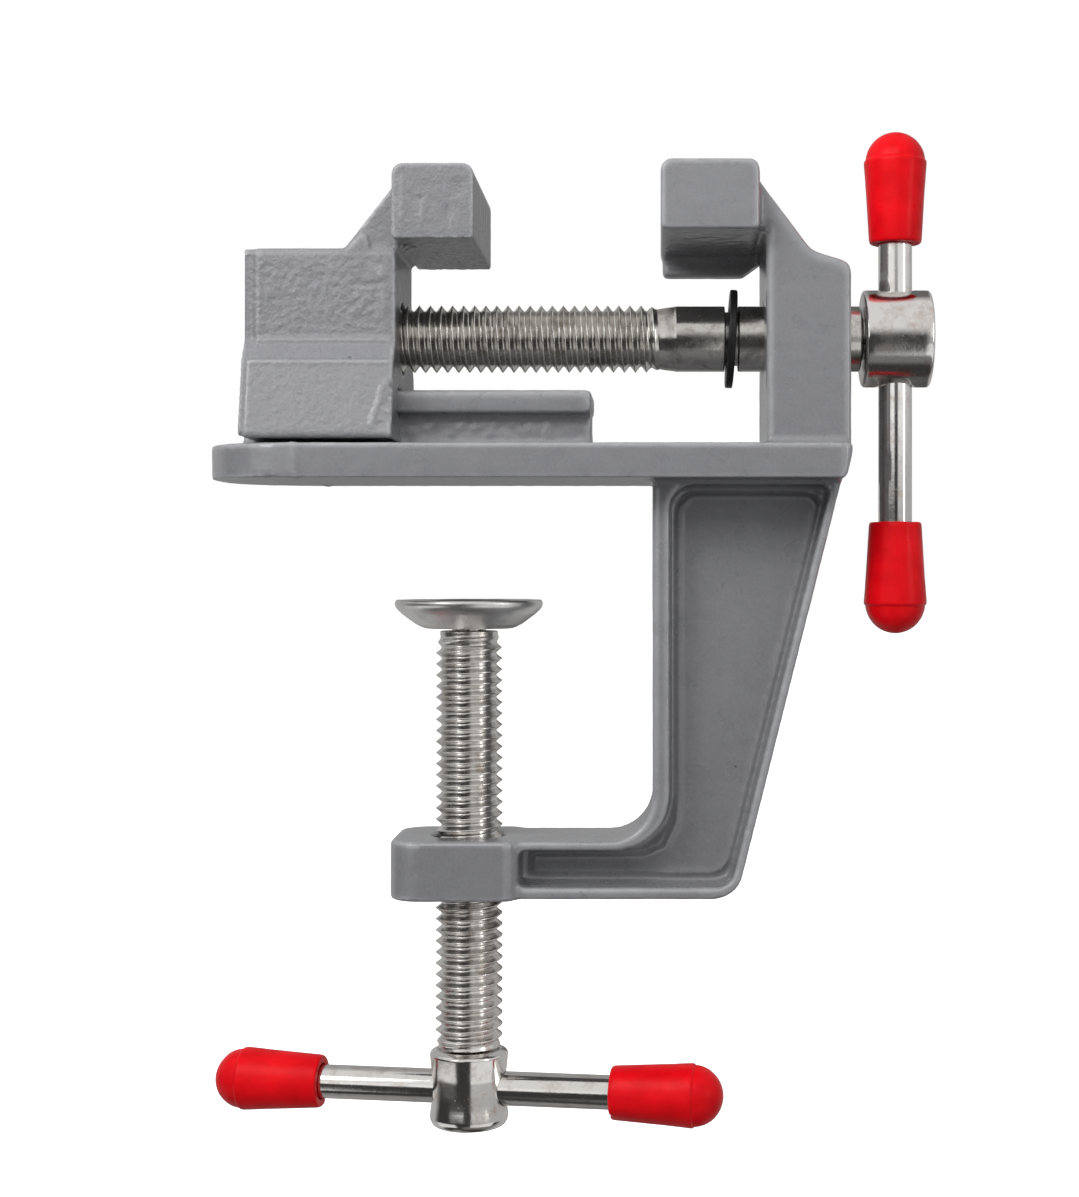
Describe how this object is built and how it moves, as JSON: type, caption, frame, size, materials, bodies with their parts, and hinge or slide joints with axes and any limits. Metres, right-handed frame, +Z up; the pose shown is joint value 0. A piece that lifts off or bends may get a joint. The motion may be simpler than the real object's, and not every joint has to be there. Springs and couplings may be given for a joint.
{
  "type": "nutcracker",
  "caption": "Small cast screw vise that clamps to a table edge and cracks a nut between its jaws; both screws turn by sliding bar handles with red caps.",
  "frame": {"origin": "where the clamp screw's axis meets the underside of the base plate, which rests on the table", "axes": "+X along the vise screw towards its handle, +Y across the jaws, +Z up from the table"},
  "size_m": [0.1076, 0.03, 0.1479],
  "materials": {
    "grey_paint": "glossy grey paint over a cast surface",
    "bright_steel": "nickel-plated, polished",
    "oiled_steel": "dark, oiled plated steel",
    "red_plastic": "glossy moulded plastic",
    "black_steel": "black oxide"
  },
  "bodies": {
    "frame": {"base_frame": "grey_paint"},
    "jaw": {"sliding_jaw": "grey_paint"},
    "vise_spindle": {"vise_screw": "oiled_steel", "vise_screw_head": "bright_steel", "retaining_ring": "black_steel"},
    "vise_handle": {"vise_handle_rod": "bright_steel", "vise_handle_cap_upper": "red_plastic", "vise_handle_cap_lower": "red_plastic"},
    "pad_pin": {"pad_rivet": "bright_steel"},
    "pad": {"clamp_pad": "bright_steel"},
    "clamp_spindle": {"clamp_screw": "bright_steel", "clamp_screw_head": "bright_steel"},
    "clamp_handle": {"clamp_handle_rod": "bright_steel", "clamp_handle_cap_left": "red_plastic", "clamp_handle_cap_right": "red_plastic"}
  },
  "joints": [
    {"name": "vise_screw_turn", "type": "hinge", "parent": "frame", "child": "vise_spindle", "pos_m": [0, 0, 0.0213], "axis": [-1, 0, 0], "range_deg": [-787, 5718]},
    {"name": "jaw_travel", "type": "slide", "parent": "frame", "child": "jaw", "axis": [1, 0, 0], "range_m": [-0.0036, 0.0262]},
    {"name": "vise_handle_slide", "type": "slide", "parent": "vise_spindle", "child": "vise_handle", "axis": [0, 0, 1], "range_m": [-0.0067, 0.0198]},
    {"name": "clamp_travel", "type": "slide", "parent": "frame", "child": "pad_pin", "axis": [0, 0, 1], "range_m": [-0.03, 0.0165]},
    {"name": "pad_tilt", "type": "hinge", "parent": "pad_pin", "child": "pad", "pos_m": [0, 0, -0.0207], "axis": [0, 1, 0], "range_deg": [-3, 3]},
    {"name": "clamp_screw_turn", "type": "hinge", "parent": "pad_pin", "child": "clamp_spindle", "pos_m": [0, 0, 0], "axis": [0, 0, 1], "range_deg": [-6547, 3602]},
    {"name": "clamp_handle_slide", "type": "slide", "parent": "clamp_spindle", "child": "clamp_handle", "axis": [0.989, -0.1478, 0], "range_m": [-0.0154, 0.0166]}
  ],
  "couplings": [
    {"joint": "vise_screw_turn", "follows": "jaw_travel", "rad_per_m": 3808},
    {"joint": "clamp_screw_turn", "follows": "clamp_travel", "rad_per_m": 3808}
  ]
}
